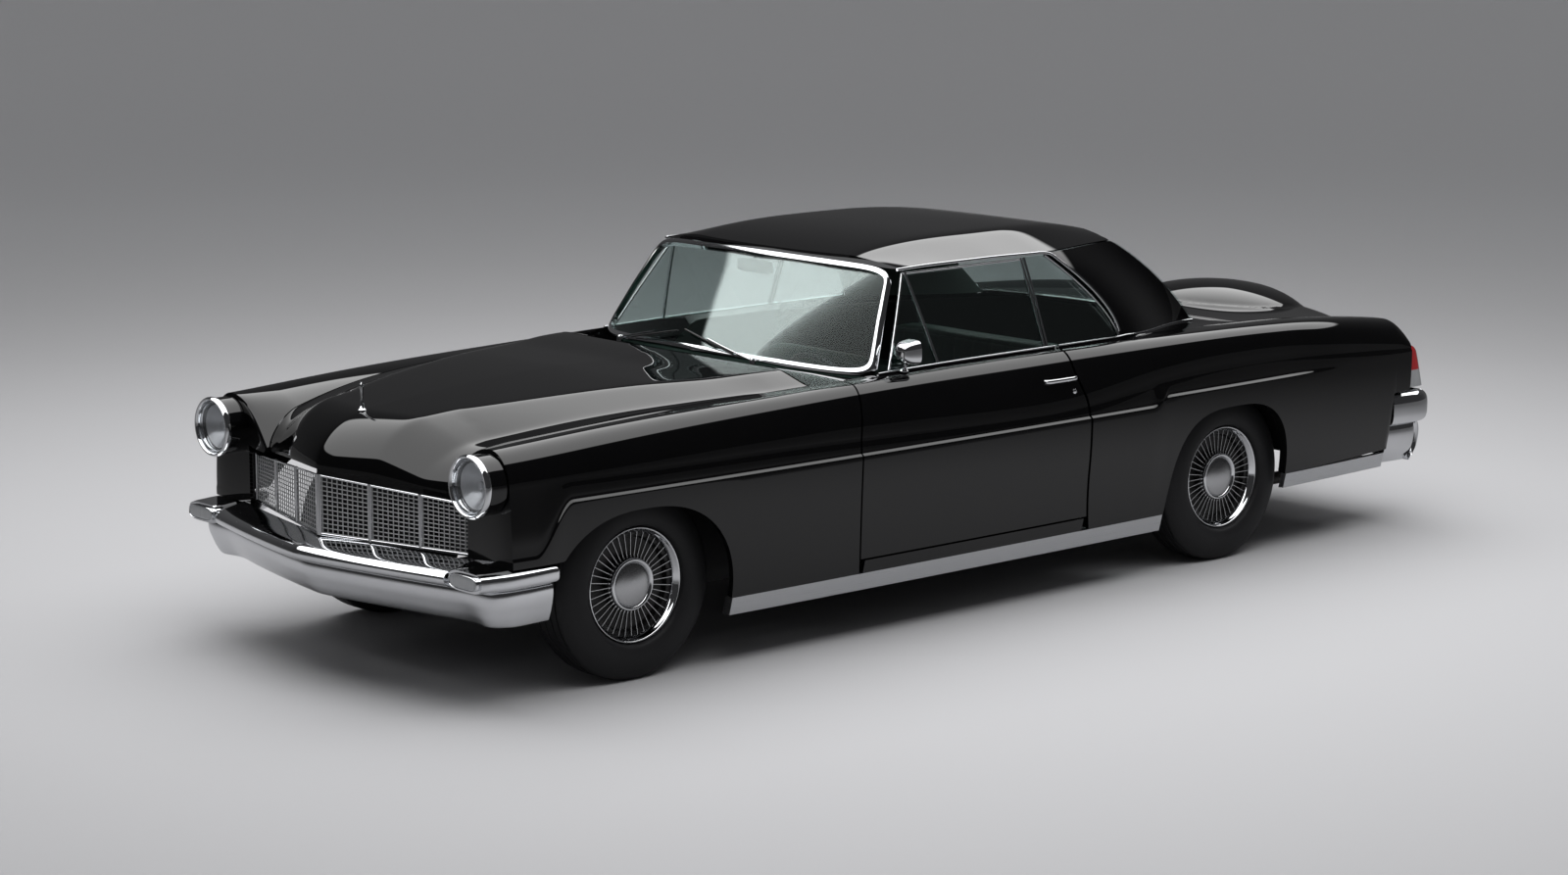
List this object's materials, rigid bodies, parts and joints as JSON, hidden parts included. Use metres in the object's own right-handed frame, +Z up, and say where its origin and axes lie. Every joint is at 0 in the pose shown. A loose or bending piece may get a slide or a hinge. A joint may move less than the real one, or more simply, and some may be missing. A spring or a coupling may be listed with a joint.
{
  "type": "two-door coupe",
  "caption": "Full-size two-door luxury coupe of the 1950s with long hood, opening doors, hood and trunk lid, steered front wheels and rolling wheels.",
  "frame": {"origin": "centre of the footprint on the ground", "axes": "-Y towards the front of the car, +X towards its left side, +Z up"},
  "size_m": [1.9698, 5.514, 1.468],
  "materials": {
    "paint": "gloss",
    "bright": "polished",
    "brushed": "brushed",
    "steel": "satin",
    "glass": "tinted",
    "lens": "clear",
    "red_lens": "red",
    "tyre": "matte",
    "trim": "satin",
    "iron": "matte"
  },
  "bodies": {
    "body": {"chassis_frame": "steel", "floor_pan": "paint", "wheel_housings": "steel", "engine": "iron", "radiator": "steel", "rear_axle": "steel", "front_suspension": "steel", "exhaust": "steel", "fuel_tank": "steel", "dashboard": "trim", "steering_column": "steel", "front_seat": "trim", "rear_seat": "trim", "front_fenders": "paint", "quarter_panels": "paint", "sills": "paint", "hinge_pillars": "steel", "rocker_mouldings": "brushed", "cowl_panel": "paint", "windshield_frame": "bright", "windshield_glass": "glass", "roof": "paint", "sail_panels": "paint", "rear_glass": "glass", "quarter_glass": "glass", "rear_deck": "paint", "trunk_hinge_pin": "bright", "tail_panel": "paint", "grille": "bright", "front_bumper": "bright", "rear_bumper": "bright", "headlamp_shells": "bright", "headlamp_lenses": "lens", "parking_lamps": "lens", "tail_lamps": "red_lens"},
    "hood": {"hood": "paint"},
    "trunk_lid": {"trunk_lid": "paint"},
    "door_left": {"door_left": "paint", "door_glass_left": "glass", "door_mirror": "bright"},
    "door_right": {"door_right": "paint", "door_glass_right": "glass"},
    "steering_wheel": {"steering_wheel": "trim"},
    "knuckle_left": {"knuckle_left": "steel"},
    "knuckle_right": {"knuckle_right": "steel"},
    "wheel_front_left": {"wheel_front_left": "bright", "tyre_front_left": "tyre"},
    "wheel_front_right": {"wheel_front_right": "bright", "tyre_front_right": "tyre"},
    "wheel_rear_left": {"wheel_rear_left": "bright", "tyre_rear_left": "tyre"},
    "wheel_rear_right": {"wheel_rear_right": "bright", "tyre_rear_right": "tyre"}
  },
  "joints": [
    {"name": "hood_hinge", "type": "hinge", "parent": "body", "child": "hood", "pos_m": [0, -0.93, 1.05], "axis": [-1, 0, 0], "range_deg": [0, 48]},
    {"name": "trunk_hinge", "type": "hinge", "parent": "body", "child": "trunk_lid", "pos_m": [0, 1.596, 0.984], "axis": [1, 0, 0], "range_deg": [0, 60]},
    {"name": "door_left_hinge", "type": "hinge", "parent": "body", "child": "door_left", "pos_m": [0.962, -0.785, 0.7], "axis": [0, 0, -1], "range_deg": [0, 62]},
    {"name": "door_right_hinge", "type": "hinge", "parent": "body", "child": "door_right", "pos_m": [-0.962, -0.785, 0.7], "axis": [0, 0, 1], "range_deg": [0, 62]},
    {"name": "steer_left", "type": "hinge", "parent": "body", "child": "knuckle_left", "pos_m": [0.69, -1.823, 0.357], "axis": [0, 0, 1], "range_deg": [-30, 30]},
    {"name": "steer_right", "type": "hinge", "parent": "body", "child": "knuckle_right", "pos_m": [-0.69, -1.823, 0.357], "axis": [0, 0, 1], "range_deg": [-30, 30]},
    {"name": "steering_wheel_turn", "type": "hinge", "parent": "body", "child": "steering_wheel", "pos_m": [0.38, -0.455, 0.85], "axis": [0, 0.848, 0.5299], "range_deg": [-510, 510]},
    {"name": "wheel_front_left_spin", "type": "hinge", "parent": "knuckle_left", "child": "wheel_front_left", "pos_m": [0.743, -1.823, 0.357], "axis": [1, 0, 0], "continuous": true},
    {"name": "wheel_front_right_spin", "type": "hinge", "parent": "knuckle_right", "child": "wheel_front_right", "pos_m": [-0.743, -1.823, 0.357], "axis": [1, 0, 0], "continuous": true},
    {"name": "wheel_rear_left_spin", "type": "hinge", "parent": "body", "child": "wheel_rear_left", "pos_m": [0.762, 1.377, 0.357], "axis": [1, 0, 0], "continuous": true},
    {"name": "wheel_rear_right_spin", "type": "hinge", "parent": "body", "child": "wheel_rear_right", "pos_m": [-0.762, 1.377, 0.357], "axis": [1, 0, 0], "continuous": true}
  ],
  "couplings": [
    {"joint": "steer_right", "follows": "steer_left", "ratio": 1},
    {"joint": "steering_wheel_turn", "follows": "steer_left", "ratio": 17}
  ]
}
